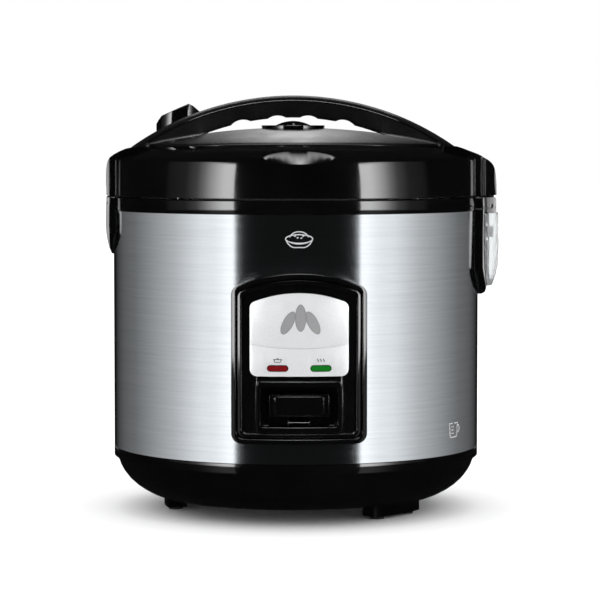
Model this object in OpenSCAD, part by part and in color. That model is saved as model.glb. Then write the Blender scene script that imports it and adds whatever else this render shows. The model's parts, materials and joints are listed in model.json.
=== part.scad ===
/* [Body] */
// Outer radius of the steel body
body_r = 132; // [130:1:134]
// Wall of the steel body
shell_t = 1; // [0.8:0.1:1.2]
// Height of the lower edge of the steel
steel_bottom_z = 46; // [44:1:48]
// Height of the upper edge of the steel, where the rim ring starts
steel_top_z = 216; // [215.5:0.5:216.5]
// Top of the rim ring
rim_top_z = 225.6; // [225.2:0.1:225.8]
// Underside of the base, above the resting plane
base_bottom_z = 10.6; // [9:0.2:12]
// Mean radius of the ring of feet
foot_ring_r = 89; // [86:1:92]

/* [Lid] */
// Outer radius of the lid wall
lid_r = 132.6; // [132:0.1:133]
// Lower edge of the lid wall
lid_bottom_z = 226.5; // [226.4:0.1:226.8]
// Height where the rounded edge of the lid meets its sloping top
lid_edge_z = 253.4; // [253:0.1:253.8]
// Highest point of the platform under the handle
crown_z = 275.2; // [274.8:0.1:275.6]
// Half length of the platform, from latch to hinge
platform_a = 115; // [113:1:117]
// Half width of the platform, from front to back
platform_b = 82; // [78:1:86]

/* [Handle] */
// Top of the handle's arch
handle_top_z = 298.2; // [296:0.2:300]
// Half width of the handle at its middle, front to back
handle_hw = 15; // [13:1:17]
// Sideways shift of the handle, platform and cap from the body's axis
handle_x = -2; // [-3:0.5:0]

/* [Control panel] */
// Half width of the panel
panel_hw = 46.2; // [44:0.2:48]
// Lower edge of the panel
panel_bottom_z = 60.5; // [58:0.5:62]
// Top of the panel's arched edge
panel_top_z = 176.3; // [174:0.5:178]
// Radius of the panel's outer ridge about the body's axis
panel_r = 138.5; // [138:0.1:139]
// Width of the cooking lever's paddle
lever_w = 41; // [38:1:43]
// Height of the cooking lever's paddle
lever_h = 15; // [14:0.5:16]
// Distance of each lamp from the middle
lamp_x = 14.7; // [14:0.1:15.5]

/* [Inner pot] */
// Outer radius of the inner pot
pot_r = 113; // [111:0.5:113]
// Inside depth of the inner pot, floor to rim
pot_depth = 112; // [110:1:113]
// Wall of the inner pot
pot_t = 1.6; // [1.2:0.1:2]

/* [Hinge, latch and vent] */
// Distance of the lid's hinge pin from the body's axis
hinge_x = 139.6; // [139.4:0.1:139.8]
// Radius of the hinge pin
hinge_pin_r = 1.5; // [1.4:0.1:1.6]
// Sideways position of the steam vent
vent_x = -86; // [-88:1:-84]
// Front-to-back position of the steam vent
vent_y = 48; // [46:1:50]

/* [Hidden] */
$fn = 96;
big = 400;
gap = 0.2;
run_fit = 0.05;
hinge_z = 219;
shell_in_r = body_r - shell_t;
panel_face_r = panel_r - 3.1;
lever_z = 86.5;
lever_pivot_y = -70;
lever_pivot_z = 80;
lamp_z = 112.1;
lamp_half = 5;
lamp_end_r = 1.75;
lamp_rim = 0.5;
lamp_stem_r = 1.5;
lip_hw = 16.8;
badge_r = panel_face_r + 1.6;
badge_hw = 33.5;
badge_bottom_z = 106.6;
badge_top_z = 163.1;
pot_flange_z = 221.4;
pot_floor_z = pot_flange_z - pot_depth;
plate_top_z = pot_floor_z - pot_t - gap;
plate_t = 11;
thermo_r = 19;
housing_z = plate_top_z - 19.4;
latch_r = 137.7;
latch_pin_x = -129;
latch_pin_z = 207;
bracket_r = 138.4;
hinge_block_x = 96;
hinge_block_r = 50.7;
knuckle_hw = 9;
inlet_z = 66;
inlet_hw = 16;
screw_r = 2;
platform_r = (platform_a * platform_a + platform_b * platform_b) / (2 * platform_b);

module tube(r_out, r_in, z0, z1) {
    translate([0, 0, z0])
        difference() {
            cylinder(h = z1 - z0, r = r_out);
            translate([0, 0, -1])
                cylinder(h = z1 - z0 + 2, r = r_in);
        }
}

// A bar along X between two points, for pins and bores
module bar_x(x0, x1, y, z, r) {
    translate([x0, y, z])
        rotate([0, 90, 0])
            cylinder(h = x1 - x0, r = r, $fn = 48);
}

// A bar along Y between two points
module bar_y(y0, y1, x, z, r) {
    translate([x, y0, z])
        rotate([-90, 0, 0])
            cylinder(h = y1 - y0, r = r, $fn = 48);
}

module block(x0, x1, y0, y1, z0, z1) {
    translate([x0, y0, z0])
        cube([x1 - x0, y1 - y0, z1 - z0]);
}

// Plane figure with a straight foot and an arched top, all four corners rounded by r
module arched(hw, z0, z1, arch_r, r) {
    arch_z = z1 - arch_r;
    corner_z = arch_z + sqrt(pow(arch_r - r, 2) - pow(hw - r, 2));
    reach = 1.2;
    translate([-hw, z0 + r])
        square([2 * hw, corner_z - z0 - r]);
    translate([-hw + r, z0])
        square([2 * (hw - r), corner_z - z0]);
    for (side = [-1, 1]) {
        translate([side * (hw - r), z0 + r])
            circle(r = r);
        translate([side * (hw - r), corner_z])
            circle(r = r);
    }
    intersection() {
        translate([0, arch_z])
            circle(r = arch_r, $fn = 180);
        polygon([
            [0, corner_z - 8],
            [hw - r, corner_z],
            [reach * (hw - r), arch_z + reach * (corner_z - arch_z)],
            [-reach * (hw - r), arch_z + reach * (corner_z - arch_z)],
            [-hw + r, corner_z]
        ]);
    }
}

// Plane rectangle with rounded corners, centred on x
module rounded(hw, z0, z1, r) {
    translate([-hw, z0 + r])
        square([2 * hw, z1 - z0 - 2 * r]);
    translate([-hw + r, z0])
        square([2 * (hw - r), z1 - z0]);
    for (side = [-1, 1])
        for (z = [z0 + r, z1 - r])
            translate([side * (hw - r), z])
                circle(r = r);
}

// Carries a plane figure drawn in x and z to the front of the body
module to_front(depth0, depth1) {
    translate([0, -depth0, 0])
        rotate([90, 0, 0])
            linear_extrude(height = depth1 - depth0)
                children();
}

// Carries a plane figure drawn in y and z to the right side of the body
module to_right(depth0, depth1) {
    translate([depth0, 0, 0])
        rotate([90, 0, 90])
            linear_extrude(height = depth1 - depth0)
                children();
}

// Part of a ring about the body's axis that lies behind a figure on its front
module front_skin(r_in, r_out, z0, z1) {
    intersection() {
        tube(r_out, r_in, z0, z1);
        to_front(100, 160)
            children();
    }
}

module panel_figure(inset) {
    arched(panel_hw - inset, panel_bottom_z + inset, panel_top_z - inset, 108.8 - inset, 7 - inset * 0.5);
}

module badge_figure(inset) {
    arched(badge_hw - inset, badge_bottom_z + inset, badge_top_z - inset, 82.6 - inset, 5 - inset * 0.6);
}

module lamp_figure(grow) {
    translate([-lamp_half, lamp_z - lamp_end_r - grow])
        square([2 * lamp_half, 2 * (lamp_end_r + grow)]);
    for (side = [-1, 1])
        translate([side * lamp_half, lamp_z])
            circle(r = lamp_end_r + grow, $fn = 32);
}

// ---- Base and feet ----

module base() {
    color([0.02, 0.02, 0.02])
        difference() {
            union() {
                rotate_extrude()
                    polygon([
                        [102.3, base_bottom_z], [106, 12], [112, 15.2], [116.8, 18.6], [121.4, 22.8],
                        [125, 27.5], [127.4, 31.8], [128.9, 36], [130.6, 38.4], [body_r, 39],
                        [body_r, steel_bottom_z - gap], [124, steel_bottom_z - gap], [124, 40],
                        [121, 31], [113, 21.6], [104, 15.4], [98, 14], [80, 14], [80, base_bottom_z]
                    ]);
                for (a = [-40, 40, 180])
                    rotate([0, 0, a - 16])
                        rotate_extrude(angle = 32)
                            translate([foot_ring_r - 7, 2])
                                square([14, base_bottom_z - 1.5]);
                for (a = [0, 120, 240])
                    rotate([0, 0, a + 60])
                        translate([112, 0, 17])
                            cylinder(h = 28, r = 5);
            }
            for (a = [0, 120, 240])
                rotate([0, 0, a + 60])
                    translate([112, 0, 30])
                        cylinder(h = 20, r = 1.5, $fn = 32);
        }
}

module foot_pads() {
    color([0.05, 0.05, 0.05])
        for (a = [-40, 40, 180])
            for (side = [-11, 11])
                rotate([0, 0, a + side])
                    difference() {
                        translate([foot_ring_r, 0, 0])
                            cylinder(h = 2, r = 5);
                        for (rib = [-1, 1])
                            block(foot_ring_r - 8, foot_ring_r + 8, rib * 2 - 0.5, rib * 2 + 0.5, -1, 0.8);
                    }
}

module bottom_cover() {
    color([0.7, 0.7, 0.7])
        difference() {
            translate([0, 0, base_bottom_z + 0.2])
                cylinder(h = 1, r = 79.8);
            for (a = [0:30:330])
                for (r = [30, 45])
                    rotate([0, 0, a])
                        translate([r, 0, 0])
                            cylinder(h = 20, r = 2.6, $fn = 24);
            for (a = [30, 150, 270])
                rotate([0, 0, a])
                    translate([70, 0, 0])
                        cylinder(h = 20, r = screw_r + 0.1, $fn = 32);
        }
}

module cover_screws() {
    color([0.6, 0.6, 0.6])
        for (a = [30, 150, 270])
            rotate([0, 0, a])
                translate([70, 0, 0]) {
                    translate([0, 0, base_bottom_z - 1.6])
                        cylinder(h = 1.8, r = 3.8, $fn = 32);
                    translate([0, 0, base_bottom_z])
                        cylinder(h = 9, r = screw_r, $fn = 32);
                }
}

// ---- Steel body, rim and heat shield ----

module body_shell() {
    color([0.75, 0.75, 0.75])
        difference() {
            tube(body_r, shell_in_r, steel_bottom_z, steel_top_z - gap);
            to_front(100, 160)
                rounded(28, 70, 101, 4);
            block(-big, -120, -9, 9, 203, 217);
            for (side = [-1, 1])
                bar_y(-160, -120, side * lamp_x, lamp_z, lamp_stem_r + 0.2);
            block(-inlet_hw - 2, inlet_hw + 2, 100, big, inlet_z - 12, inlet_z + 12);
            for (y = [-26, 26])
                bar_x(120, 140, y, 200, screw_r + 0.1);
        }
}

module rim_ring() {
    color([0.02, 0.02, 0.02])
        difference() {
            rotate_extrude()
                polygon([
                    [119.6, rim_top_z], [119.6, pot_flange_z - 1.9], [115, pot_flange_z - 1.9],
                    [115, 212], [117, 212], [117, 216], [127.5, 216], [127.5, 208], [130.6, 208],
                    [130.6, steel_top_z], [lid_r, steel_top_z], [lid_r, rim_top_z - 0.6],
                    [lid_r - 0.6, rim_top_z]
                ]);
            block(-big, -125.5, -8, 8, 200, big);
            block(-big, -125.5, -9.2, 9.2, 200, steel_top_z - 0.1);
        }
}

module liner() {
    color([0.72, 0.72, 0.72])
        tube(118.4, 117.6, plate_top_z - plate_t - 3, 212);
}

module keep_warm_band() {
    color([0.75, 0.7, 0.6])
        tube(119.6, 118.5, 150, 178);
}

// ---- Heating plate and its controls ----

module heating_plate() {
    color([0.78, 0.78, 0.78])
        difference() {
            union() {
                tube(100, thermo_r + 2, plate_top_z - 7, plate_top_z);
                tube(92, 66, plate_top_z - plate_t, plate_top_z - 6);
            }
            tube(83.7, 74.3, 0, plate_top_z - plate_t + 5);
        }
}

module heating_element() {
    color([0.55, 0.53, 0.5]) {
        difference() {
            translate([0, 0, plate_top_z - plate_t + 0.4])
                rotate_extrude()
                    translate([79, 0])
                        circle(r = 4.2, $fn = 48);
            block(-9, 9, 0, big, 0, big);
        }
        for (side = [-1, 1])
            translate([side * 12, 77.8, plate_top_z - plate_t - 14])
                cylinder(h = 14, r = 2, $fn = 32);
    }
}

module plate_legs() {
    color([0.7, 0.7, 0.7])
        for (a = [60, 180, 300])
            rotate([0, 0, a]) {
                block(94, 112, -7, 7, plate_top_z - 8.6, plate_top_z - 7.1);
                block(110.5, 112, -7, 7, steel_bottom_z + 0.7, plate_top_z - 7.1);
                difference() {
                    block(105, 118, -7, 7, steel_bottom_z - 0.8, steel_bottom_z + 0.8);
                    translate([112, 0, 0])
                        cylinder(h = 46, r = 1.7, $fn = 32);
                }
            }
}

module leg_screws() {
    color([0.6, 0.6, 0.6])
        for (a = [60, 180, 300])
            rotate([0, 0, a])
                translate([98, 0, plate_top_z - 11.6])
                    cylinder(h = 3, r = 3.4, $fn = 32);
}

module thermostat_cup() {
    color([0.8, 0.8, 0.8])
        difference() {
            translate([0, 0, plate_top_z - 9])
                cylinder(h = 9, r = thermo_r);
            translate([0, 0, plate_top_z - 10])
                cylinder(h = 9, r = thermo_r - 1.2);
        }
}

module thermostat_spring() {
    wire_r = 1.22;
    turns = 6;
    low = housing_z + 1.6 + wire_r + 0.1;
    high = plate_top_z - 1 - wire_r - 0.1;
    color([0.6, 0.6, 0.6])
        for (turn = [0:turns])
            translate([0, 0, low + turn * (high - low) / turns])
                rotate_extrude()
                    translate([14.5, 0])
                        circle(r = wire_r, $fn = 24);
}

module magnet_housing() {
    cap_z = plate_top_z - 7.2;
    color([0.7, 0.7, 0.72]) {
        tube(10, 8.6, housing_z, cap_z + 0.7);
        tube(19, 9, housing_z, housing_z + 1.6);
        translate([0, 0, cap_z])
            cylinder(h = 1.6, r = 10);
        for (side = [-1, 1]) {
            block(side * 24 - 6, side * 24 + 6, -5, 5, housing_z, housing_z + 1.6);
            block(side * 29 - 1, side * 29 + 1, -5, 5, housing_z, plate_top_z - 7.1);
        }
    }
}

module magnet_rod() {
    color([0.35, 0.35, 0.36]) {
        translate([0, 0, plate_top_z - 21])
            cylinder(h = 7, r = 8.2);
        translate([0, 0, 76])
            cylinder(h = plate_top_z - 96, r = 2.5, $fn = 32);
        for (z = [76.7, 81.5])
            translate([0, 0, z])
                cylinder(h = 1.6, r = 5.5, $fn = 32);
    }
}

module switch_bracket() {
    color([0.7, 0.7, 0.7]) {
        block(-34, 34, -84, -54, 62, 63.4);
        for (side = [-1, 1])
            difference() {
                block(side * 13 - 0.8, side * 13 + 0.8, -78, -62, 63, 86);
                bar_x(-20, 20, lever_pivot_y, lever_pivot_z, 2.05);
            }
        for (side = [-1, 1])
            block(side * 33 - 0.8, side * 33 + 0.8, -62, -54, 63, plate_top_z - plate_t - 0.1);
    }
}

module lever_pin() {
    color([0.6, 0.6, 0.6])
        bar_x(-16, 16, lever_pivot_y, lever_pivot_z, 2);
}

module micro_switch() {
    color([0.1, 0.1, 0.1]) {
        block(17, 27, -80, -60, 63.5, 74);
        block(20, 24, -68, -66, 73, 75.5);
    }
}

module thermal_fuse() {
    color([0.85, 0.82, 0.75])
        bar_x(-46, -24, 42, plate_top_z - 14, 2.4);
}

module fuse_clip() {
    color([0.6, 0.6, 0.6])
        difference() {
            block(-40, -30, 38.5, 45.5, plate_top_z - 17.2, plate_top_z - 7.1);
            bar_x(-60, -10, 42, plate_top_z - 14, 2.5);
        }
}

module cook_lever() {
    color([0.66, 0.66, 0.66])
        difference() {
            union() {
                block(-5, 5, -122, -66, lever_z - 7.5, lever_z - 5.7);
                block(-5, 5, -75, -3, lever_z - 7.5, lever_z - 5.7);
                block(-12, 12, -73, -67, lever_z - 7.5, lever_z - 5.7);
                for (side = [-1, 1])
                    block(side * 11 - 0.9, side * 11 + 0.9, -75, -65, 75, lever_z - 5.7);
                block(-8, 8, -6, 8, lever_z - 7.5, lever_z - 5.7);
                block(-5, 5, -129.5, -121.8, lever_z - 7.5, lever_z - 5.7);
            }
            bar_x(-20, 20, lever_pivot_y, lever_pivot_z, 2.05);
            cylinder(h = big, r = 3.6, $fn = 32);
            block(-3.6, 3.6, 0, 20, 0, big);
        }
}

module lever_paddle() {
    color([0.02, 0.02, 0.02])
        difference() {
            union() {
                front_skin(127, 133.4, 0, big)
                    rounded(lever_w / 2, lever_z - lever_h / 2, lever_z + lever_h / 2, 1.6);
                front_skin(132, 136.2, 0, big)
                    rounded(lip_hw, lever_z - lever_h / 2 + 0.8, lever_z + lever_h / 2 - 1.2, 2.6);
            }
            block(-5.1, 5.1, -131, 0, lever_z - 7.6, lever_z - 5.6);
        }
}

// ---- Front panel ----

module panel() {
    color([0.02, 0.02, 0.02])
        difference() {
            union() {
                difference() {
                    front_skin(body_r + gap, panel_r, 50, 190)
                        panel_figure(0);
                    front_skin(panel_face_r, panel_r + 2, 50, 190)
                        panel_figure(3.2);
                }
                difference() {
                    front_skin(panel_face_r - 1, panel_r - 1, 50, 190)
                        panel_figure(4.4);
                    to_front(100, 160)
                        panel_figure(6.8);
                }
                front_skin(panel_face_r - 1, panel_r - 0.6, 50, 190)
                    rounded(29, 68, 103, 3);
                to_front(123, 134)
                    rounded(27.7, 70.4, 100.6, 3.8);
            }
            to_front(124.6, 160)
                rounded(26.5, 72, 99.4, 2.5);
            block(-7, 7, -130, -120, 72.6, 83);
            for (side = [-1, 1])
                bar_y(-160, -120, side * lamp_x, lamp_z, lamp_stem_r + 0.2);
        }
}

module badge() {
    color([0.82, 0.83, 0.84])
        difference() {
            front_skin(panel_face_r + 0.02, badge_r, 50, 190)
                badge_figure(0);
            for (side = [-1, 1])
                to_front(120, 160)
                    translate([side * lamp_x, 0])
                        lamp_figure(lamp_rim);
            front_skin(badge_r - 0.4, badge_r + 2, 50, 190)
                translate([0, 125.4 + 195])
                    difference() {
                        circle(r = 195.4, $fn = 180);
                        circle(r = 194.6, $fn = 180);
                    }
        }
}

module lens(side) {
    front_skin(panel_face_r + 0.02, badge_r + 0.7, 50, 190)
        translate([side * lamp_x, 0])
            lamp_figure(0);
    bar_y(-panel_face_r - 0.5, -128.2, side * lamp_x, lamp_z, lamp_stem_r);
}

module red_lens() {
    color([0.75, 0.05, 0.04])
        lens(-1);
}

module green_lens() {
    color([0.03, 0.5, 0.12])
        lens(1);
}

module lamp_holder() {
    color([0.88, 0.86, 0.8])
        difference() {
            union() {
                block(-24, 24, -128, -126.4, lamp_z - 6, lamp_z + 6);
                for (side = [-1, 1])
                    bar_y(-128, -121, side * lamp_x, lamp_z, 4);
            }
            for (side = [-1, 1])
                bar_y(-130, -123, side * lamp_x, lamp_z, lamp_stem_r + 0.2);
        }
}

// ---- Power inlet and wiring ----

module power_inlet() {
    color([0.03, 0.03, 0.03])
        difference() {
            union() {
                rotate([0, 0, 180])
                    front_skin(body_r + gap, 134.6, 40, 90)
                        rounded(inlet_hw + 5, inlet_z - 15, inlet_z + 15, 4);
                block(-inlet_hw, inlet_hw, 106, 133, inlet_z - 11, inlet_z + 11);
            }
            block(-12, 12, 111, big, inlet_z - 8, inlet_z + 8);
            for (x = [-7, 0, 7])
                bar_y(100, 115, x, inlet_z, 1.8);
        }
}

module inlet_pins() {
    color([0.75, 0.7, 0.5])
        for (x = [-7, 0, 7])
            bar_y(104, 127, x, inlet_z, 1.8);
}

module wiring() {
    color([0.85, 0.83, 0.78]) {
        for (side = [-1, 1]) {
            translate([side * 12, 77.8, inlet_z - 4])
                cylinder(h = plate_top_z - plate_t - 14.1 - inlet_z + 4, r = 1.4, $fn = 24);
            bar_y(77.8, 105.9, side * 12, inlet_z - 4, 1.4);
        }
        bar_y(-59.9, 78, 22, 70, 1.4);
        bar_x(12, 22, 77.8, 70, 1.4);
        bar_y(-52, 77.8, -46.5, 70, 1.4);
        bar_x(-46.5, -12, 77.8, 70, 1.4);
    }
}

// ---- Inner pot ----

module pot_figure(r, z0, corner) {
    translate([0, z0])
        square([r - corner, pot_flange_z - z0]);
    translate([0, z0 + corner])
        square([r, pot_flange_z - z0 - corner]);
    translate([r - corner, z0 + corner])
        circle(r = corner);
}

module inner_pot() {
    color([0.3, 0.3, 0.31])
        rotate_extrude()
            difference() {
                union() {
                    pot_figure(pot_r, pot_floor_z - pot_t, 14);
                    translate([0, pot_flange_z - 1.8])
                        square([118.8, 1.8]);
                }
                pot_figure(pot_r - pot_t, pot_floor_z, 12.4);
                translate([0, pot_flange_z - 1])
                    square([pot_r - pot_t, 3]);
            }
}

// ---- Latch, on the left ----

module latch_figure(inset) {
    intersection() {
        translate([-31.5 + inset, 184 + inset])
            square([63 - 2 * inset, rim_top_z - 184 - 2 * inset]);
        translate([0, 224])
            circle(r = 40 - inset, $fn = 128);
    }
}

module latch_skin(r_in) {
    difference() {
        rotate_extrude()
            polygon([
                [0, 184], [132.6, 184], [133.4, 184.6], [135.2, 188.6], [136.5, 194.1], [137.3, 199],
                [latch_r, 204], [latch_r, 212], [137.5, 219], [137.2, rim_top_z], [0, rim_top_z]
            ]);
        cylinder(h = big, r = r_in);
    }
}

module latch_bracket() {
    color([0.03, 0.03, 0.03])
        difference() {
            union() {
                intersection() {
                    latch_skin(body_r + gap);
                    mirror([1, 0, 0])
                        to_right(100, 160)
                            latch_figure(0);
                }
                for (side = [-1, 1])
                    block(-133, -126.6, side * 8 - 0.8, side * 8 + 0.8, 203.4, 211);
            }
            tube(lid_r + gap, 100, steel_top_z - gap, big);
            intersection() {
                latch_skin(133.6);
                mirror([1, 0, 0])
                    to_right(100, 160)
                        latch_figure(4);
            }
            block(-136, -131, -7.2, 7.2, 203.2, 213.4);
            block(-134.6, -120, -7.2, 7.2, 213, big);
            bar_y(-20, 20, latch_pin_x, latch_pin_z, 1.25);
        }
}

module release_lever() {
    color([0.02, 0.02, 0.02])
        difference() {
            union() {
                intersection() {
                    latch_skin(135.4);
                    mirror([1, 0, 0])
                        to_right(100, 160)
                            latch_figure(4.5);
                }
                block(-135.8, -132.4, -6.4, 6.4, 204.6, 212);
                block(-133, -128, -4.4, 4.4, 204.6, 212);
                bar_y(-4.4, 4.4, latch_pin_x, latch_pin_z, 3.2);
                block(-131.4, -128.6, -4.4, 4.4, 206, 233);
                block(-131.4, -127, -4.4, 4.4, 230.4, 233);
            }
            bar_y(-20, 20, latch_pin_x, latch_pin_z, 1.25);
        }
}

module release_pin() {
    color([0.6, 0.6, 0.6])
        bar_y(-8.8, 8.8, latch_pin_x, latch_pin_z, 1.2);
}

module release_spring() {
    color([0.6, 0.6, 0.6])
        for (y = [-6.2, -5.4, 5.4, 6.2])
            translate([latch_pin_x, y, latch_pin_z])
                rotate([90, 0, 0])
                    rotate_extrude($fn = 48)
                        translate([2.2, 0])
                            circle(r = 0.45, $fn = 24);
}

// ---- Hinge and dew collector, on the right ----

module hinge_figure() {
    translate([0, 186])
        intersection() {
            translate([-39, -31.5])
                square([78, 71.1]);
            translate([0, 16])
                circle(r = 47.5, $fn = 128);
        }
}

module hinge_skin() {
    rotate_extrude()
        polygon([
            [body_r + gap, 154.5], [134.6, 154.5], [137.4, 157], [bracket_r, 160.5],
            [bracket_r, 213], [bracket_r, rim_top_z - 0.2], [lid_r + gap, rim_top_z - 0.2],
            [lid_r + gap, steel_top_z - gap], [body_r + gap, steel_top_z - gap]
        ]);
}

module hinge_bracket() {
    color([0.03, 0.03, 0.03])
        difference() {
            union() {
                intersection() {
                    hinge_skin();
                    to_right(100, 160)
                        hinge_figure();
                }
                difference() {
                    intersection() {
                        translate([hinge_block_x, 0, 213.9])
                            cylinder(h = rim_top_z - 0.2 - 213.9, r = hinge_block_r);
                        block(120, 160, -31, 31, 200, 240);
                    }
                    cylinder(h = big, r = bracket_r - 1);
                }
            }
            translate([hinge_block_x, 0, 217.4])
                difference() {
                    cylinder(h = 0.7, r = hinge_block_r + 5);
                    cylinder(h = 0.7, r = hinge_block_r - 0.6);
                }
            difference() {
                block(hinge_x, 160, -40, 40, hinge_z, 240);
                bar_y(-50, 50, hinge_x, hinge_z, 7.1);
            }
            block(133.4, 160, -14.4, 14.4, hinge_z - 6.1, 240);
            bar_y(-26, 26, hinge_x, hinge_z, hinge_pin_r + 0.02);
            for (y = [-26, 26])
                bar_x(120, 134.2, y, 200, screw_r + 0.1);
        }
}

module hinge_pin() {
    color([0.6, 0.6, 0.6])
        bar_y(-25.9, 25.9, hinge_x, hinge_z, hinge_pin_r);
}

module hinge_spring() {
    color([0.6, 0.6, 0.6])
        for (turn = [0:3])
            for (side = [-1, 1])
                translate([hinge_x, side * (10.4 + turn * 1.1), hinge_z])
                    rotate([90, 0, 0])
                        rotate_extrude($fn = 48)
                            translate([2.6, 0])
                                circle(r = 0.6, $fn = 24);
}

module collector_clip() {
    color([0.5, 0.5, 0.5])
        difference() {
            intersection() {
                tube(143, bracket_r + 0.05, 196, 204);
                block(130, 160, -9, 9, 190, 210);
            }
            tube(141.6, 140.2, 190, 201);
        }
}

module cup_form(inset) {
    intersection() {
        translate([hinge_block_x + 1.2, 0, 0])
            rotate_extrude()
                polygon([
                    [0, 161.5 + inset], [45.6 - inset, 161.5 + inset], [48 - inset, 168],
                    [49.7 - inset, 175.6], [50.2 - inset, 188.2], [50 - inset, 213.5], [0, 213.5]
                ]);
        block(120, 160, inset - 29, 29 - inset, 150, 213.5);
    }
}

module dew_collector() {
    color([0.86, 0.9, 0.92, 0.4])
        difference() {
            cup_form(0);
            cylinder(h = big, r = bracket_r + 0.4);
            difference() {
                cup_form(1.4);
                cylinder(h = big, r = bracket_r + 1.6);
            }
            block(130, 143.6, -10, 10, 194, 206);
        }
}

// ---- Lid ----

module lid_outer() {
    rotate_extrude()
        polygon([
            [0, 200], [lid_r, 200], [lid_r, lid_edge_z - 1.8], [lid_r - 0.4, lid_edge_z - 0.8],
            [lid_r - 1.5, lid_edge_z], [128, 254.6], [122, 256.5], [114, 258.6], [104, 260.5],
            [92, 262], [80, 262.8], [60, 263.6], [0, 263.6]
        ]);
}

module lid_cavity() {
    rotate_extrude()
        polygon([
            [0, 190], [lid_r - 2.4, 190], [lid_r - 2.4, 246.8], [126, 250],
            [114, 255.4], [104, 257.6], [92, 259.2], [60, 260.6], [0, 260.6]
        ]);
}

module platform_prism() {
    translate([handle_x, 0, 240])
        linear_extrude(height = 60)
            intersection() {
                translate([0, platform_r - platform_b])
                    circle(r = platform_r, $fn = 180);
                translate([0, platform_b - platform_r])
                    circle(r = platform_r, $fn = 180);
            }
}

// Solid under a dome that is long and gentle along X and tighter along Y
module platform_dome() {
    long_r = 490;
    cross_r = 247;
    translate([handle_x, 0, crown_z - cross_r])
        rotate([0, 90, 0])
            rotate_extrude($fn = 180)
                intersection() {
                    translate([cross_r - long_r, 0])
                        circle(r = long_r, $fn = 360);
                    translate([0, -125])
                        square([cross_r + 5, 250]);
                }
}

module arch_solid() {
    arc_r = 201;
    intersection() {
        translate([handle_x, 0, handle_top_z - arc_r])
            bar_y(-50, 50, 0, 0, arc_r);
        block(handle_x - 116, handle_x + 116, -23.5, 23.5, 244, 300);
        difference() {
            block(-200, 200, -60, 60, 240, 300);
            for (side = [-1, 1])
                translate([handle_x, side * (handle_hw + 320), 230])
                    cylinder(h = 80, r = 320, $fn = 360);
        }
    }
}

module handle() {
    color([0.03, 0.03, 0.03])
        difference() {
            union() {
                intersection() {
                    platform_prism();
                    platform_dome();
                }
                difference() {
                    arch_solid();
                    bar_y(-60, 60, handle_x, 103, 179.5);
                    for (x = [-36, -11, 11, 36])
                        bar_y(-60, 60, handle_x + x, (abs(x) < 20 ? 284 : 281) - 12, 12);
                }
            }
            lid_outer();
            translate([handle_x, 0, crown_z - 1.2])
                cylinder(h = 3, r = 23);
            translate([vent_x, vent_y, 0])
                cylinder(h = big, r = 20.9);
        }
}

module centre_cap() {
    dome_r = 26.4;
    color([0.02, 0.02, 0.02])
        translate([handle_x, 0, 0]) {
            translate([0, 0, crown_z - 1.15])
                cylinder(h = 2.75, r = 22.8);
            intersection() {
                translate([0, 0, 280 - dome_r])
                    sphere(r = dome_r);
                translate([0, 0, crown_z])
                    cylinder(h = 10, r = 12.6);
            }
        }
}

module strap(points, hw) {
    intersection() {
        rotate([90, 0, 0])
            translate([0, 0, -hw])
                linear_extrude(height = 2 * hw)
                    polygon(points);
        children();
    }
}

module left_strap() {
    strap([
        [-104, 228], [-104, 261], [-117, 261.2], [-122, 260.1], [-126.8, 258], [-130.4, 256],
        [-133, 254], [-134.7, 251.8], [-135.7, 249.6], [-136.6, 245.3], [-137, 239],
        [-137.2, 232], [-137.2, lid_bottom_z], [-128, lid_bottom_z]
    ], 31.5)
        cylinder(h = big, r = 137.3);
}

module right_strap() {
    strap([
        [104, 228], [104, 261.6], [114, 261.8], [118, 260.5], [123.5, 258.4], [128.8, 256.4],
        [133.5, 254], [137.6, 251.8], [140.4, 249.6], [142, 247.6], [143.1, 245.3],
        [144.1, 241], [145.2, 232], [145.9, 227.7], [145.9, lid_bottom_z], [128, lid_bottom_z]
    ], 39)
        union() {
            cylinder(h = big, r = 137.2);
            intersection() {
                translate([hinge_block_x, 0, 0])
                    cylinder(h = big, r = 49.9);
                block(100, 160, -31, 31, 200, 300);
            }
        }
}

module lid_shell() {
    boss_r = 5;
    scoop_z = 249.8;
    scoop_r = 200;
    color([0.02, 0.02, 0.02])
        difference() {
            union() {
                difference() {
                    union() {
                        lid_outer();
                        difference() {
                            union() {
                                left_strap();
                                right_strap();
                            }
                            platform_prism();
                            arch_solid();
                        }
                        translate([vent_x, vent_y, 240])
                            cylinder(h = 28, r = 19.9);
                    }
                    lid_cavity();
                    translate([0, 0, 100])
                        cylinder(h = lid_bottom_z - 100, r = 200);
                }
                for (a = [45:90:315])
                    rotate([0, 0, a])
                        translate([116, 0, 229.5])
                            cylinder(h = 22, r = boss_r);
                translate([vent_x, vent_y, 229.5])
                    cylinder(h = 30, r = 8);
                block(136, 143.2, -knuckle_hw, knuckle_hw, hinge_z, 228);
                bar_y(-knuckle_hw, knuckle_hw, hinge_x, hinge_z, 5.5);
            }
            translate([0, -lid_r, scoop_z])
                rotate([25, 0, 0])
                    translate([0, 0, scoop_r])
                        bar_y(-60, 60, 0, 0, scoop_r);
            block(-135, -120, -7.5, 7.5, 200, 237);
            bar_y(-20, 20, hinge_x, hinge_z, hinge_pin_r + run_fit);
            for (a = [45:90:315])
                rotate([0, 0, a])
                    translate([116, 0, 200])
                        cylinder(h = 40, r = 1.5, $fn = 32);
            translate([vent_x, vent_y, 200])
                cylinder(h = 90, r = 5);
            translate([vent_x, vent_y, 260.5])
                cylinder(h = 30, r = 13.2);
        }
}

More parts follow.
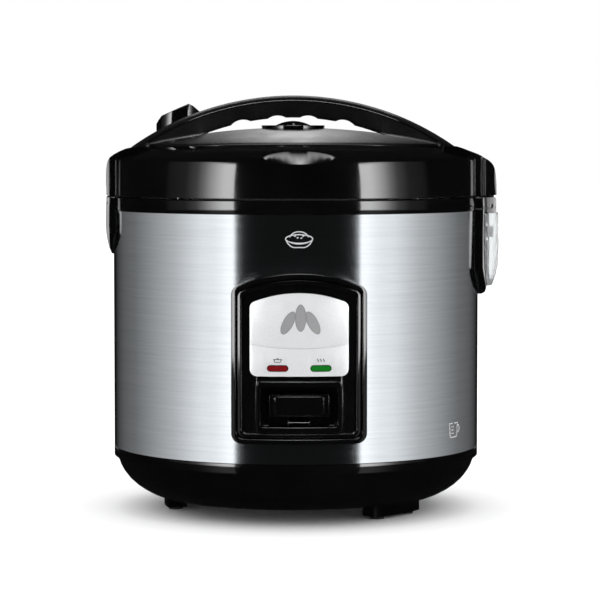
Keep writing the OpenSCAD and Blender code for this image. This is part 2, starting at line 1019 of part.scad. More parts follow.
module lid_liner() {
    color([0.04, 0.04, 0.04])
        difference() {
            translate([0, 0, 226.8])
                cylinder(h = 2.6, r = lid_r - 2.5);
            block(-big, -126.4, -7.5, 7.5, 200, 300);
            translate([vent_x, vent_y, 200])
                cylinder(h = 90, r = 5);
            for (a = [45:90:315])
                rotate([0, 0, a])
                    translate([116, 0, 200])
                        cylinder(h = 40, r = 1.6, $fn = 32);
        }
}

module liner_screws() {
    color([0.6, 0.6, 0.6])
        for (a = [45:90:315])
            rotate([0, 0, a])
                translate([116, 0, 0]) {
                    translate([0, 0, 225.8])
                        cylinder(h = 1, r = 3, $fn = 32);
                    translate([0, 0, 226])
                        cylinder(h = 12, r = 1.45, $fn = 32);
                }
}

module inner_lid() {
    color([0.8, 0.8, 0.8])
        difference() {
            translate([0, 0, 223])
                cylinder(h = 1.2, r = 108);
            translate([0, 0, 220])
                cylinder(h = 6, r = 3.2, $fn = 32);
            for (a = [0:45:315])
                rotate([0, 0, a])
                    translate([72, 0, 220])
                        cylinder(h = 6, r = 2.6, $fn = 32);
        }
}

module lid_gasket() {
    color([0.85, 0.85, 0.83]) {
        tube(112.2, 108.05, 221.8, 226.7);
        tube(108.2, 105, 224.3, 225.5);
    }
}

module lid_knob() {
    color([0.1, 0.1, 0.1]) {
        translate([0, 0, 218.5])
            cylinder(h = 4.4, r = 9);
        translate([0, 0, 222.5])
            cylinder(h = 4.25, r = 3, $fn = 32);
    }
}

module vent_cap() {
    top = 16.3;
    color([0.02, 0.02, 0.02])
        difference() {
            union() {
                intersection() {
                    translate([vent_x, vent_y + 30, 0])
                        rotate([90, 0, 0])
                            linear_extrude(height = 60)
                                polygon([
                                    [-top, 268.2], [-top, 278], [-top + 1.5, 280.6], [-top + 4, 284],
                                    [top - 8.8, 292.8], [top - 5.8, 291.4], [top, 286.3], [top, 268.2]
                                ]);
                    translate([vent_x, vent_y, 260])
                        cylinder(h = 40, r = 20.4);
                }
                translate([vent_x, vent_y, 262])
                    cylinder(h = 8, r = 12.4);
            }
            translate([vent_x, vent_y, 255])
                cylinder(h = 24, r = 10.5);
            for (x = [-8, 0, 8])
                block(vent_x + x - 1.5, vent_x + x + 1.5, vent_y, vent_y + 30, 271.5, 277.5);
        }
}

module vent_seal() {
    color([0.6, 0.6, 0.6])
        translate([vent_x, vent_y, 0])
            tube(13.15, 12.45, 263, 265.5);
}

base();
foot_pads();
bottom_cover();
cover_screws();
body_shell();
rim_ring();
liner();
keep_warm_band();
heating_plate();
heating_element();
plate_legs();
leg_screws();
thermostat_cup();
thermostat_spring();
magnet_housing();
magnet_rod();
switch_bracket();
micro_switch();
thermal_fuse();
fuse_clip();
lever_pin();
cook_lever();
lever_paddle();
panel();
badge();
red_lens();
green_lens();
lamp_holder();
power_inlet();
inlet_pins();
wiring();
inner_pot();
latch_bracket();
release_lever();
release_pin();
release_spring();
hinge_bracket();
hinge_pin();
hinge_spring();
collector_clip();
dew_collector();
lid_shell();
lid_liner();
liner_screws();
inner_lid();
lid_gasket();
lid_knob();
handle();
centre_cap();
vent_cap();
vent_seal();
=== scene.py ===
import json
import math

import bmesh
import bpy
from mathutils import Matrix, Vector


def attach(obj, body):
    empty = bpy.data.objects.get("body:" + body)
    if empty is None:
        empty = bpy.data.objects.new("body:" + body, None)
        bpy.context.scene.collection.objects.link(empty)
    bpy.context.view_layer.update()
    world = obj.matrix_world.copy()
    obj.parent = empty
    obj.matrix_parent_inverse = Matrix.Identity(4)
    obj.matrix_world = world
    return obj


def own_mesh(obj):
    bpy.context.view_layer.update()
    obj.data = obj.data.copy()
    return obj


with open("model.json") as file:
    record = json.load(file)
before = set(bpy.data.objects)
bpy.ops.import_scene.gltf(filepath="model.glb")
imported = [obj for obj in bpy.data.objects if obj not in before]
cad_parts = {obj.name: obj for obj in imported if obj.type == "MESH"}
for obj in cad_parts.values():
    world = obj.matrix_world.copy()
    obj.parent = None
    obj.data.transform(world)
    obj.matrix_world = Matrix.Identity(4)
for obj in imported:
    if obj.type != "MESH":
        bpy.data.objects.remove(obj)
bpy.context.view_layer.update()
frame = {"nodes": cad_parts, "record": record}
nodes = frame["nodes"]
slot_of = {s["node"]: s["material_slot"] for s in frame["record"]["subparts"]}
MM = 0.001


# ---- Materials ----


class Nodes:
    """A small helper that adds nodes to one material and links them."""

    def __init__(self, name):
        self.material = bpy.data.materials.new(name)
        self.material.use_nodes = True
        self.tree = self.material.node_tree
        self.shader = self.tree.nodes["Principled BSDF"]

    def add(self, kind, inputs=None, **settings):
        node = self.tree.nodes.new(kind)
        for key, value in settings.items():
            setattr(node, key, value)
        for key, value in (inputs or {}).items():
            if isinstance(value, bpy.types.NodeSocket):
                self.tree.links.new(value, node.inputs[key])
            else:
                node.inputs[key].default_value = value
        return node

    def set(self, **values):
        for key, value in values.items():
            socket = self.shader.inputs[key.replace("_", " ")]
            if isinstance(value, bpy.types.NodeSocket):
                self.tree.links.new(value, socket)
            else:
                socket.default_value = value

    def math(self, operation, a, b=0.0):
        return self.add("ShaderNodeMath", {0: a, 1: b}, operation=operation).outputs[0]

    def place(self):
        return self.add("ShaderNodeTexCoord").outputs["Object"]

    def round_place(self, turn_scale, height_scale):
        """Coordinates wrapped round the body's axis, stretched separately round and up."""
        xyz = self.add("ShaderNodeSeparateXYZ", {0: self.place()})
        angle = self.math("ARCTAN2", xyz.outputs[0], xyz.outputs[1])
        turn = self.math("MULTIPLY", angle, turn_scale)
        height = self.math("MULTIPLY", xyz.outputs[2], height_scale)
        return self.add("ShaderNodeCombineXYZ", {0: turn, 2: height}).outputs[0]

    def noise(self, scale, detail=3.0, vector=None, roughness=0.5):
        inputs = {"Vector": vector or self.place(), "Scale": scale, "Detail": detail}
        inputs["Roughness"] = roughness
        return self.add("ShaderNodeTexNoise", inputs).outputs["Fac"]

    def span(self, value, low, high, from_low=0.3, from_high=0.7):
        inputs = {0: value, 1: from_low, 2: from_high, 3: low, 4: high}
        return self.add("ShaderNodeMapRange", inputs).outputs[0]

    def bump(self, height, strength, distance, normal=None):
        inputs = {"Height": height, "Strength": strength, "Distance": distance}
        if normal:
            inputs["Normal"] = normal
        return self.add("ShaderNodeBump", inputs).outputs[0]

    def tint(self, value, dark, light):
        inputs = {"Factor": value}
        mix = self.add("ShaderNodeMix", inputs, data_type="RGBA")
        mix.inputs[6].default_value = (*dark, 1)
        mix.inputs[7].default_value = (*light, 1)
        return mix.outputs[2]


def grey(level):
    return (level, level, level)


def plastic(name, dark, light, rough, grain, grain_depth, spread=0.04, coat=0.0, edge=0.001):
    """Moulded plastic: fine grain, patches of slightly different sheen, edges eased by shading.

    grain is the noise scale of the surface; grain_depth and edge are in metres.
    """
    m = Nodes(name)
    patches = m.noise(22, 4)
    eased = m.add("ShaderNodeBevel", {"Radius": edge}, samples=6).outputs[0]
    m.set(
        Base_Color=m.tint(m.span(patches, 0, 1), dark, light),
        Roughness=m.span(m.noise(60, 5), rough - spread, rough + spread),
        Normal=m.bump(m.noise(grain, 2), 0.1, grain_depth, eased),
        IOR=1.5,
        Coat_Weight=coat,
        Coat_Roughness=0.04,
    )
    return m.material


def metal(name, colour, rough, grain=(40, 40, 4000), depth=0.00001):
    """Sheet or turned metal with fine lines; the grain vector stretches the lines."""
    m = Nodes(name)
    stretched = m.add("ShaderNodeMapping", {"Vector": m.place(), "Scale": grain}).outputs[0]
    lines = m.noise(1.0, 3, stretched)
    dark = tuple(0.82 * c for c in colour)
    m.set(
        Base_Color=m.tint(m.span(lines, 0, 1), dark, colour),
        Metallic=1.0,
        Roughness=m.span(m.noise(35, 4), rough - 0.05, rough + 0.07),
        Normal=m.bump(lines, 0.3, depth),
    )
    return m.material


def brushed_round(name):
    """Steel brushed round the body: long level scratches, so highlights smear up and down."""
    dark, light = (0.665, 0.705, 0.735), (0.82, 0.86, 0.895)
    noise_range = (0.36, 0.64)
    m = Nodes(name)
    fine = m.noise(1.0, 4, m.round_place(3.0, 5200), 0.6)
    broad = m.noise(1.0, 3, m.round_place(1.3, 420), 0.55)
    both = m.math("ADD", m.math("MULTIPLY", fine, 0.6), m.math("MULTIPLY", broad, 0.4))
    tangent = m.add("ShaderNodeTangent", direction_type="RADIAL", axis="Z").outputs[0]
    m.set(
        Base_Color=m.tint(m.span(both, 0, 1, *noise_range), dark, light),
        Metallic=1.0,
        Roughness=m.span(both, 0.2, 0.24, *noise_range),
        Anisotropic=1.0,
        Anisotropic_Rotation=0.25,
        Tangent=tangent,
        Normal=m.bump(both, 0.05, 0.00001),
    )
    return m.material


def clear(name):
    """Clear moulded plastic with a faintly uneven surface."""
    m = Nodes(name)
    m.set(
        Base_Color=(0.93, 0.95, 0.96, 1),
        Roughness=m.span(m.noise(80, 3), 0.04, 0.12),
        Transmission_Weight=0.85,
        IOR=1.35,
        Normal=m.bump(m.noise(300, 2), 0.2, 0.00002),
    )
    return m.material


def lamp(name, dark, light):
    """Coloured lens: ribbed inside, a little light passing through the colour."""
    m = Nodes(name)
    ribs = m.add("ShaderNodeTexWave", {"Vector": m.place(), "Scale": 420.0, "Distortion": 0.4})
    m.set(
        Base_Color=m.tint(ribs.outputs["Fac"], dark, light),
        Roughness=m.span(m.noise(90, 3), 0.1, 0.2),
        Coat_Weight=0.6,
        Emission_Color=(*light, 1),
        Emission_Strength=0.08,
    )
    return m.material


def silver(name):
    """Satin silver paint with a fine metallic fleck."""
    m = Nodes(name)
    fleck = m.noise(2600, 2)
    m.set(
        Base_Color=m.tint(m.span(fleck, 0, 1), (0.70, 0.71, 0.72), (0.86, 0.87, 0.88)),
        Metallic=0.35,
        Roughness=m.span(m.noise(120, 3), 0.3, 0.42),
        Normal=m.bump(fleck, 0.1, 0.00001),
        Coat_Weight=0.2,
    )
    return m.material


PLASTICS = {
    "black_gloss": dict(
        dark=(0.0010, 0.0010, 0.0011), light=(0.0022, 0.0022, 0.0024), rough=0.09,
        grain=120, grain_depth=0.000003, spread=0.025, coat=0.4,
    ),
    "black_satin": dict(
        dark=(0.0025, 0.0025, 0.0027), light=(0.005, 0.005, 0.0053), rough=0.24,
        grain=1400, grain_depth=0.00002, edge=0.0028,
    ),
    "rubber": dict(
        dark=grey(0.012), light=grey(0.024), rough=0.7, grain=1500, grain_depth=0.00006,
    ),
    "silicone": dict(
        dark=(0.55, 0.55, 0.53), light=(0.68, 0.68, 0.66), rough=0.55,
        grain=900, grain_depth=0.00003,
    ),
    "heater_band": dict(
        dark=(0.6, 0.55, 0.45), light=(0.78, 0.73, 0.62), rough=0.85,
        grain=1700, grain_depth=0.0002,
    ),
    "dark_plastic": dict(
        dark=grey(0.012), light=grey(0.022), rough=0.42, grain=1200, grain_depth=0.00004,
    ),
    "grey_plastic": dict(
        dark=grey(0.4), light=grey(0.5), rough=0.4, grain=1200, grain_depth=0.00003,
    ),
    "fuse_ceramic": dict(
        dark=(0.75, 0.72, 0.64), light=(0.86, 0.83, 0.76), rough=0.3,
        grain=800, grain_depth=0.00003,
    ),
    "wire_sleeve": dict(
        dark=(0.7, 0.68, 0.62), light=(0.86, 0.84, 0.8), rough=0.8,
        grain=2400, grain_depth=0.0002,
    ),
}

METALS = {
    "sheet_steel": dict(colour=(0.62, 0.62, 0.63), rough=0.32),
    "screw_steel": dict(colour=(0.66, 0.66, 0.67), rough=0.22, grain=(900, 900, 900)),
    "cast_aluminium": dict(colour=(0.72, 0.72, 0.73), rough=0.34, grain=(60, 60, 2600)),
    "element_steel": dict(colour=(0.3, 0.29, 0.27), rough=0.5, grain=(300, 300, 300)),
    "pin_brass": dict(colour=(0.75, 0.6, 0.3), rough=0.28, grain=(400, 400, 400)),
}

MATERIALS = {name: plastic(name, **look) for name, look in PLASTICS.items()}
MATERIALS.update({name: metal(name, **look) for name, look in METALS.items()})
MATERIALS["brushed_body"] = brushed_round("brushed_body")
MATERIALS["badge_silver"] = silver("badge_silver")
MATERIALS["clear_plastic"] = clear("clear_plastic")
MATERIALS["red_lamp"] = lamp("red_lamp", dark=(0.07, 0.001, 0.002), light=(0.2, 0.004, 0.006))
MATERIALS["green_lamp"] = lamp("green_lamp", dark=(0.001, 0.06, 0.004), light=(0.004, 0.19, 0.012))


# ---- CAD nodes: materials, small edge rounds, smooth shading ----

WELD_REACH = 0.02 * MM
ROUND_ABOVE = math.radians(38)
SHARP_ABOVE = math.radians(32)

# Widths of the rounds on edges, in millimetres. Blender narrows them where a mesh is tight.
EDGE_ROUND = {
    "handle": 1.6, "vent_cap": 1.4, "panel": 0.5, "hinge_bracket": 1.1,
    "latch_bracket": 0.8, "release_lever": 0.6, "lever_paddle": 0.9, "centre_cap": 0.6,
    "power_inlet": 0.8, "rim_ring": 0.3, "base": 0.5, "badge": 0.25,
    "foot_pads": 0.5, "red_lens": 0.25, "green_lens": 0.25,
}


def smooth_group():
    """A node group that shades smoothly and keeps edges sharp above a set angle."""
    group = bpy.data.node_groups.new("smooth_edges", "GeometryNodeTree")
    group.interface.new_socket("Geometry", in_out="INPUT", socket_type="NodeSocketGeometry")
    group.interface.new_socket("Geometry", in_out="OUTPUT", socket_type="NodeSocketGeometry")
    start = group.nodes.new("NodeGroupInput")
    end = group.nodes.new("NodeGroupOutput")
    angle = group.nodes.new("GeometryNodeInputMeshEdgeAngle")
    above = group.nodes.new("FunctionNodeCompare")
    above.operation = "GREATER_THAN"
    above.inputs["B"].default_value = SHARP_ABOVE
    flip = group.nodes.new("FunctionNodeBooleanMath")
    flip.operation = "NOT"
    shade = group.nodes.new("GeometryNodeSetShadeSmooth")
    shade.domain = "EDGE"
    link = group.links.new
    link(angle.outputs["Unsigned Angle"], above.inputs["A"])
    link(above.outputs[0], flip.inputs[0])
    link(flip.outputs[0], shade.inputs["Shade Smooth"])
    link(start.outputs[0], shade.inputs["Geometry"])
    link(shade.outputs[0], end.inputs[0])
    return group


SMOOTH = smooth_group()
for name, piece in nodes.items():
    piece.data.materials.clear()
    piece.data.materials.append(MATERIALS[slot_of[name]])
    piece.data.shade_smooth()
    piece.modifiers.new("weld", "WELD").merge_threshold = WELD_REACH
    if name in EDGE_ROUND:
        bevel = piece.modifiers.new("bevel", "BEVEL")
        bevel.width = EDGE_ROUND[name] * MM
        bevel.segments = 3
        bevel.limit_method = "ANGLE"
        bevel.angle_limit = ROUND_ABOVE
    piece.modifiers.new("smooth", "NODES").node_group = SMOOTH


# The spring under the thermostat cup, which shortens as the pot presses the cup down, gets a mesh
# of its own.
spring = nodes["thermostat_spring"]
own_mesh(spring)


def closed_bars(name, bars, material):
    """One mesh of closed bars. Each bar is a list of rings of points, in millimetres."""
    bm = bmesh.new()
    for bar in bars:
        rings = [[bm.verts.new([c * MM for c in point]) for point in ring] for ring in bar]
        for near, far in zip(rings, rings[1:]):
            for k in range(len(near)):
                after = (k + 1) % len(near)
                bm.faces.new((near[k], far[k], far[after], near[after]))
        bm.faces.new(rings[0])
        bm.faces.new(rings[-1][::-1])
    bmesh.ops.recalc_face_normals(bm, faces=bm.faces)
    mesh = bpy.data.meshes.new(name)
    bm.to_mesh(mesh)
    bm.free()
    mesh.materials.append(material)
    piece = bpy.data.objects.new(name, mesh)
    bpy.context.scene.collection.objects.link(piece)
    return piece


# ---- Printed marks, as thin raised ink on the curved front, in millimetres ----

INK_T = 0.12
INK_SUNK = 0.05
STEEL_R = 132
PANEL_R = 137
BOWL_Z = 199
GRAIN_X, GRAIN_Z = 0.6, 144.5
LAMP_X, SIGN_Z = 14.7, 117.6
CUP_TURN, CUP_Z = 56, 63


def ink_paint(name, dark, light):
    return plastic(name, dark, light, 0.42, 1800, 0.00001)


GREY_INK = ink_paint("grey_ink", (0.22, 0.22, 0.225), (0.27, 0.27, 0.275))
DARK_INK = ink_paint("dark_ink", (0.03, 0.03, 0.035), (0.05, 0.05, 0.055))
PALE_INK = ink_paint("pale_ink", (0.52, 0.52, 0.53), (0.62, 0.62, 0.63))


def arc(cx, cy, rx, ry, start, end, count=28):
    """Points along an ellipse, across and up, with the angles in degrees."""
    points = []
    for k in range(count + 1):
        turn = math.radians(start + (end - start) * k / count)
        points.append((cx + rx * math.cos(turn), cy + ry * math.sin(turn)))
    return points


def mirrored(points):
    """A path from its left half: the same points again, back to front, on the right."""
    return points + [(-x, y) for x, y in reversed(points)]


def stroke(points, width):
    """The left and right edges of a drawn line of a given width."""
    pairs = []
    for k, (x, y) in enumerate(points):
        x0, y0 = points[max(k - 1, 0)]
        x1, y1 = points[min(k + 1, len(points) - 1)]
        length = math.hypot(x1 - x0, y1 - y0) or 1.0
        nx, ny = -(y1 - y0) / length * width / 2, (x1 - x0) / length * width / 2
        pairs.append(((x + nx, y + ny), (x - nx, y - ny)))
    return pairs


def blob(cx, cy, rx, ry, tilt=0.0, count=24):
    """A filled ellipse as pairs of points across its long axis; tilt is in degrees."""
    pairs = []
    cos_tilt, sin_tilt = math.cos(math.radians(tilt)), math.sin(math.radians(tilt))
    for k in range(count + 1):
        turn = math.pi * (0.02 + 0.96 * k / count)
        along, reach = -rx * math.cos(turn), ry * math.sin(turn)
        pairs.append(tuple(
            (cx + along * cos_tilt - off * sin_tilt, cy + along * sin_tilt + off * cos_tilt)
            for off in (reach, -reach)
        ))
    return pairs


def shifted(strips, dx, dy):
    return [[tuple((x + dx, y + dy) for x, y in pair) for pair in strip] for strip in strips]


def ink(name, strips, radius, material):
    """Wraps flat strips round the body's axis as closed films INK_T thick."""

    def on_skin(point, r):
        turn = point[0] / radius
        return (r * math.sin(turn), -r * math.cos(turn), point[1])

    over, under = radius + INK_T, radius - INK_SUNK
    bars = []
    for strip in strips:
        bar = []
        for left, right in strip:
            corners = ((left, over), (right, over), (right, under), (left, under))
            bar.append([on_skin(point, r) for point, r in corners])
        bars.append(bar)
    mark = closed_bars(name, bars, material)
    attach(mark, "cooker")


def bowl_strips():
    """A bowl with its rim, a heap of rice and five grains."""
    side = [(-8.9, -0.2), (-7.6, -2.6), (-5.6, -4.4), (-3.6, -5.2)]
    grains = ((-2.8, 2.5, 20), (0, 3.6, -10), (2.7, 2.6, -25), (-1.0, 1.4, 5), (1.5, 1.2, 15))
    strips = [
        stroke(arc(0, 0.6, 9.2, 2.9, 0, 360, 48), 0.75),
        stroke(arc(0, 0.9, 6.4, 4.6, 10, 170), 0.7),
        stroke(mirrored(side), 0.75),
        stroke(arc(0, -0.2, 7.4, 2.7, 200, 340), 0.5),
    ]
    return strips + [blob(x, y, 0.75, 0.45, tilt) for x, y, tilt in grains]


def grain_strips():
    """Three large rice grains, in place of the badge's letter."""
    sides = [blob(side * 8.4 + 0.2, -1.5, 8.6, 3.6, 90 + side * 28) for side in (-1, 1)]
    return [sides[0], blob(0.3, 1.8, 9.2, 3.8, 90), sides[1]]


def pot_strips():
    """A small pot with a lid and a knob, over the red lamp."""
    side = [(-2.4, 0.4), (-2.2, -1.0), (-1.6, -1.3)]
    rim = [(-2.9, 0.5), (2.9, 0.5)]
    return [stroke(mirrored(side), 0.42), stroke(rim, 0.42), blob(0, 1.1, 0.6, 0.35)]


def steam_strips():
    """Three wavy lines of steam, over the green lamp."""
    strips = []
    for x in (-2.0, 0.0, 2.0):
        wave = [(x + 0.45 * math.sin(k * 1.25), 0.42 * k - 1.05) for k in range(6)]
        strips.append(stroke(wave, 0.42))
    return strips


def cup_strips():
    """A measuring cup with a handle and three level lines."""
    side = [(-5.6, 4.6), (-4.6, -4.2), (-3.9, -4.9)]
    strips = [
        stroke(mirrored(side), 0.8),
        stroke([(-6.2, 4.8), (6.2, 4.8)], 0.8),
        stroke(arc(5.4, 0.8, 3.0, 2.7, -80, 80), 0.8),
    ]
    return strips + [stroke([(-3.4, y), (0.2, y)], 0.55) for y in (-2.2, 0.1, 2.4)]


cup_x = STEEL_R * math.radians(CUP_TURN)
ink("bowl_mark", shifted(bowl_strips(), 0, BOWL_Z), STEEL_R, PALE_INK)
ink("grain_mark", shifted(grain_strips(), GRAIN_X, GRAIN_Z), PANEL_R, GREY_INK)
ink("cook_mark", shifted(pot_strips(), -LAMP_X, SIGN_Z), PANEL_R, DARK_INK)
ink("warm_mark", shifted(steam_strips(), LAMP_X, SIGN_Z), PANEL_R, DARK_INK)
ink("cup_mark", shifted(cup_strips(), cup_x, CUP_Z), STEEL_R, PALE_INK)


# ---- A fine raised line along each side of the handle, in millimetres ----

HANDLE_X, HANDLE_HW, HANDLE_TOP = -2.0, 15.0, 298.2
ARCH_R, WAIST_R = 201, 320
LINE_DROP, LINE_REACH, LINE_WIDEST = 3.7, 104.0, 23.4
BEAD_R, BEAD_SIDES, BEAD_STEPS = 0.5, 8, 96


def handle_line(name, side):
    """A slim bead that follows the arch's side face, which narrows towards the middle."""
    arch = ARCH_R - LINE_DROP
    rings = []
    for k in range(BEAD_STEPS + 1):
        x = LINE_REACH * (2 * k / BEAD_STEPS - 1)
        z = HANDLE_TOP - ARCH_R + math.sqrt(arch ** 2 - x * x)
        y = side * min(HANDLE_HW + WAIST_R - math.sqrt(WAIST_R ** 2 - x * x), LINE_WIDEST)
        lean = math.asin(x / arch)
        ring = []
        for j in range(BEAD_SIDES):
            turn = 2 * math.pi * j / BEAD_SIDES
            out, up = BEAD_R * math.cos(turn), BEAD_R * math.sin(turn)
            along, above = up * math.sin(lean), up * math.cos(lean)
            ring.append((HANDLE_X + x + along, y + side * out, z + above))
        rings.append(ring)
    bead = closed_bars(name, [rings], MATERIALS["black_gloss"])
    bead.data.shade_smooth()
    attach(bead, "lid")
    return bead


handle_lines = [handle_line("handle_line_front", -1), handle_line("handle_line_back", 1)]


# ---- Studio light: glowing sheets that the camera does not see ----

# Distances are in metres and angles in degrees.
FRONT_EDGE = 37.5
PANEL_REACH = 1.6
LID_HEIGHT = 0.26
FRONT_HALF_TURN, FRONT_RISES, FRONT_HEIGHT = 30, (35, 80), 0.2


def glow_material():
    """Lets all light through and adds its own, as strong as the mesh's level attribute."""
    m = Nodes("glow")
    level = m.add("ShaderNodeAttribute", attribute_name="level").outputs["Fac"]
    light = m.add("ShaderNodeEmission", {"Strength": level}).outputs[0]
    through = m.add("ShaderNodeBsdfTransparent").outputs[0]
    both = m.add("ShaderNodeAddShader", {0: light, 1: through}).outputs[0]
    m.tree.links.new(both, m.tree.nodes["Material Output"].inputs["Surface"])
    return m.material


GLOW = glow_material()


def ramp(value, stops):
    """Straight-line interpolation through (position, level) stops."""
    if value <= stops[0][0]:
        return stops[0][1]
    for (p0, l0), (p1, l1) in zip(stops, stops[1:]):
        if value <= p1:
            return l0 + (l1 - l0) * (value - p0) / (p1 - p0)
    return stops[-1][1]


def between(ends, share):
    return ends[0] + (ends[1] - ends[0]) * share


def fade(share, power):
    """A level that falls from 1 in the middle of a panel to 0 at its two edges."""
    return (1 - abs(2 * share - 1)) ** power


def glow_sheet(name, point, level, receivers, columns=64, rows=24):
    """A glowing sheet that reaches only its receivers.

    point(u, v) gives its shape and level(u, v) its brightness, for u and v from 0 to 1.
    """
    spots = [(i / columns, j / rows) for j in range(rows + 1) for i in range(columns + 1)]
    faces = []
    for j in range(rows):
        for i in range(columns):
            k = j * (columns + 1) + i
            faces.append((k, k + 1, k + columns + 2, k + columns + 1))
    mesh = bpy.data.meshes.new(name)
    mesh.from_pydata([point(u, v) for u, v in spots], [], faces)
    levels = mesh.attributes.new("level", "FLOAT", "POINT")
    levels.data.foreach_set("value", [level(u, v) for u, v in spots])
    mesh.materials.append(GLOW)
    sheet = bpy.data.objects.new(name, mesh)
    sheet.visible_camera = False
    sheet.visible_shadow = False
    sheet.visible_diffuse = False
    sheet.light_linking.receiver_collection = receivers
    bpy.context.scene.collection.objects.link(sheet)


def lit_group(name, pieces):
    """A collection of the pieces that a glowing sheet reaches."""
    group = bpy.data.collections.new(name)
    for piece in pieces:
        group.objects.link(piece)
    return group


FLANK_NAMES = ("latch_bracket", "release_lever", "hinge_bracket")
TRIM_NAMES = FLANK_NAMES + ("handle", "vent_cap", "panel", "lever_paddle", "centre_cap")
METAL_SLOTS = ("cast_aluminium", "sheet_steel", "screw_steel", "element_steel", "pin_brass")
OTHER_NAMES = [name for name in nodes if name != "body_shell"]
METAL_NAMES = [name for name in nodes if slot_of[name] in METAL_SLOTS]
STEEL_LIT = lit_group("steel_lit", [nodes["body_shell"]])
OTHERS_LIT = lit_group("others_lit", [nodes[name] for name in OTHER_NAMES])
FLANK_LIT = lit_group("flank_lit", [nodes[name] for name in FLANK_NAMES])
HANDLE_LIT = lit_group("handle_lit", [nodes["handle"]])
TRIM_LIT = lit_group("trim_lit", [nodes[name] for name in TRIM_NAMES] + handle_lines)
METAL_LIT = lit_group("metal_lit", [nodes[name] for name in METAL_NAMES])

# Brightness of the walls by azimuth, from the front round to the back. No wall glows before
# FRONT_EDGE, which leaves the dark band down the front of the steel, rim and lid.
STEEL = [(FRONT_EDGE, 1.55), (44, 1.25), (51, 1.05), (60, 0.97), (70, 0.75), (80, 0.55), (91, 0.42)]
STEEL += [(104, 0.285), (118, 0.17), (136, 0.11), (150, 0.04), (156, 0.0)]
GLOSS = [(FRONT_EDGE, 1.0), (44, 0.95), (51, 0.57), (57, 0.24), (62, 0.08), (70, 0.02), (82, 0.01)]
GLOSS += [(86, 0.0)]
REAR = [(146, 0.0), (152, 1.0), (164, 1.0), (170, 0.0)]
FLANK = [(92, 0.0), (104, 1.0), (140, 1.0), (158, 0.0)]

# Brightness of the panels behind, by rise above the lid.
DOME = [(2, 0.2), (10, 0.5), (20, 1.1), (27, 1.6), (36, 1.8), (42, 1.0), (50, 0.0)]
SCOOP = [(40, 0.0), (53, 1.0), (66, 0.0)]


def side_wall(name, side, reach, heights, stops, strength, receivers, soft=0.15):
    """A curved upright wall at one side, over the azimuths of its stops."""
    azimuths = (stops[0][0], stops[-1][0])

    def point(u, v):
        turn = math.radians(between(azimuths, u))
        return (side * reach * math.sin(turn), -reach * math.cos(turn), between(heights, v))

    def level(u, v):
        edge = min(1.0, min(v, 1 - v) / soft)
        return strength * edge * ramp(between(azimuths, u), stops)

    glow_sheet(name, point, level, receivers)


def back_glow(name, middle, half_turn, stops, strength, receivers):
    """A small soft panel behind the cooker, for the lid's upward faces."""
    rises = (stops[0][0], stops[-1][0])

    def point(u, v):
        turn = math.radians(180 + middle + half_turn * (2 * u - 1))
        rise = math.radians(between(rises, v))
        reach = PANEL_REACH * math.cos(rise)
        height = LID_HEIGHT + PANEL_REACH * math.sin(rise)
        return (reach * math.sin(turn), -reach * math.cos(turn), height)

    def level(u, v):
        return strength * fade(u, 1.7) * ramp(between(rises, v), stops)

    glow_sheet(name, point, level, receivers)


def front_glow(name, strength, receivers):
    """A curved panel high in front, for faces that slope up towards the camera."""

    def point(u, v):
        turn = math.radians(FRONT_HALF_TURN * (2 * u - 1))
        rise = math.radians(between(FRONT_RISES, v))
        reach = PANEL_REACH * math.cos(rise)
        height = FRONT_HEIGHT + PANEL_REACH * math.sin(rise)
        return (reach * math.sin(turn), -reach * math.cos(turn), height)

    def level(u, v):
        return strength * fade(u, 0.5) * fade(v, 0.7)

    glow_sheet(name, point, level, receivers)


def flat_glow(name, middle, size, strength, receivers, end_power=0.5):
    """A level panel above, brightest in its middle."""

    def point(u, v):
        return (middle[0] + size[0] * (u - 0.5), middle[1] + size[1] * (v - 0.5), middle[2])

    def level(u, v):
        return strength * fade(u, 0.5) * fade(v, end_power)

    glow_sheet(name, point, level, receivers)


for side, label in ((-1, "left"), (1, "right")):
    side_wall(label + "_rear", side, 1.6, (-0.1, 0.35), REAR, 0.5, OTHERS_LIT)
    side_wall(label + "_flank", side, 1.55, (-0.6, 0.8), FLANK, 1.6, FLANK_LIT)
    side_wall(label + "_steel", side, 1.7, (-1.3, 1.5), STEEL, 1.03, STEEL_LIT)
    side_wall(label + "_gloss", side, 1.5, (0.0, 0.75), GLOSS, 9.0, OTHERS_LIT, 0.03)
    side_wall(label + "_under", side, 1.5, (-0.9, 0.0), GLOSS, 0.45, OTHERS_LIT, 0.1)
back_glow("dome_glow", -1.0, 11, DOME, 1.7, HANDLE_LIT)
back_glow("scoop_glow", -1.7, 2.6, SCOOP, 3.6, OTHERS_LIT)
flat_glow("over_glow", (0, -0.55, 1.9), (1.6, 1.5), 9.0, TRIM_LIT, 0.7)
front_glow("front_glow", 6.0, TRIM_LIT)
# The bare metal inside would be black without this when the lid is open.
flat_glow("inner_glow", (0, 0, 1.8), (3.0, 3.0), 2.2, METAL_LIT)

# The dome under the handle would otherwise mirror the handle's black underside.
nodes["handle"].visible_glossy = False


# ---- Floor, sky and camera ----

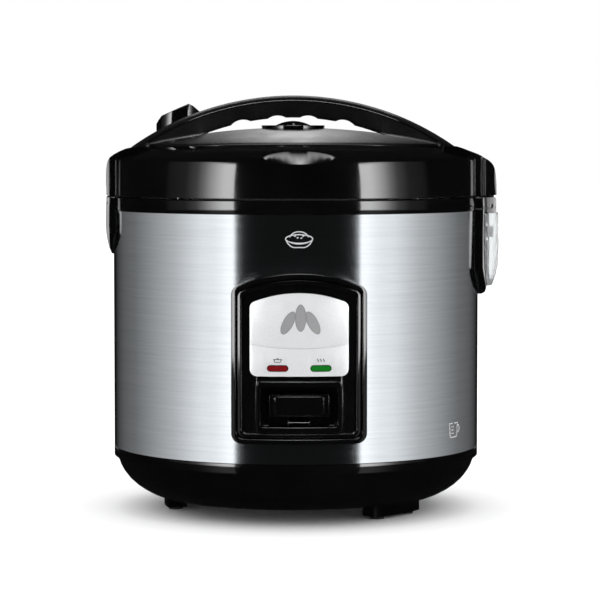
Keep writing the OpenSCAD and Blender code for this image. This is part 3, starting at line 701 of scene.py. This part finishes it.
FLOOR_HALF = 12.0
SKY_ON_OBJECT, SKY_IN_GLOSS, SKY_SEEN = 1.5, 0.007, 1.0
CAMERA_AT = Vector((-0.032, -1.90, 0.269))
CAMERA_AIM = Vector((0.003, 0, 0.150))


def pale_floor():
    """A matt white floor that glossy rays do not see."""
    h = FLOOR_HALF
    mesh = bpy.data.meshes.new("floor")
    mesh.from_pydata([(-h, -h, 0), (h, -h, 0), (h, h, 0), (-h, h, 0)], [], [(0, 1, 2, 3)])
    floor = bpy.data.objects.new("floor", mesh)
    bpy.context.scene.collection.objects.link(floor)
    pale = Nodes("pale_floor")
    pale.set(Base_Color=(0.95, 0.95, 0.95, 1), Roughness=0.6, Specular_IOR_Level=0.0)
    mesh.materials.append(pale.material)
    floor.visible_glossy = False
    floor.visible_shadow = False


def white_sky():
    """An even white world that is nearly dark in reflections, where the sheets show instead."""
    world = bpy.data.worlds.new("studio")
    world.use_nodes = True
    tree = world.node_tree
    background = tree.nodes["Background"]
    background.inputs["Color"].default_value = (1, 1, 1, 1)
    path = tree.nodes.new("ShaderNodeLightPath")
    seen = tree.nodes.new("ShaderNodeMapRange")
    seen.inputs["To Min"].default_value = SKY_ON_OBJECT
    seen.inputs["To Max"].default_value = SKY_SEEN
    dim = tree.nodes.new("ShaderNodeMath")
    dim.operation = "MULTIPLY_ADD"
    dim.inputs[1].default_value = SKY_IN_GLOSS - SKY_ON_OBJECT
    tree.links.new(path.outputs["Is Camera Ray"], seen.inputs["Value"])
    tree.links.new(path.outputs["Is Glossy Ray"], dim.inputs[0])
    tree.links.new(seen.outputs[0], dim.inputs[2])
    tree.links.new(dim.outputs[0], background.inputs["Strength"])
    bpy.context.scene.world = world
    bpy.context.scene.view_settings.view_transform = "Standard"


def photo_camera():
    """A long lens a little above the cooker, as in the photograph."""
    camera = bpy.data.objects.new("camera", bpy.data.cameras.new("camera"))
    camera.data.lens = 157
    camera.data.sensor_width = 36
    camera.location = CAMERA_AT
    camera.rotation_euler = (CAMERA_AIM - CAMERA_AT).to_track_quat("-Z", "Y").to_euler()
    bpy.context.scene.collection.objects.link(camera)
    bpy.context.scene.camera = camera


pale_floor()
white_sky()
photo_camera()
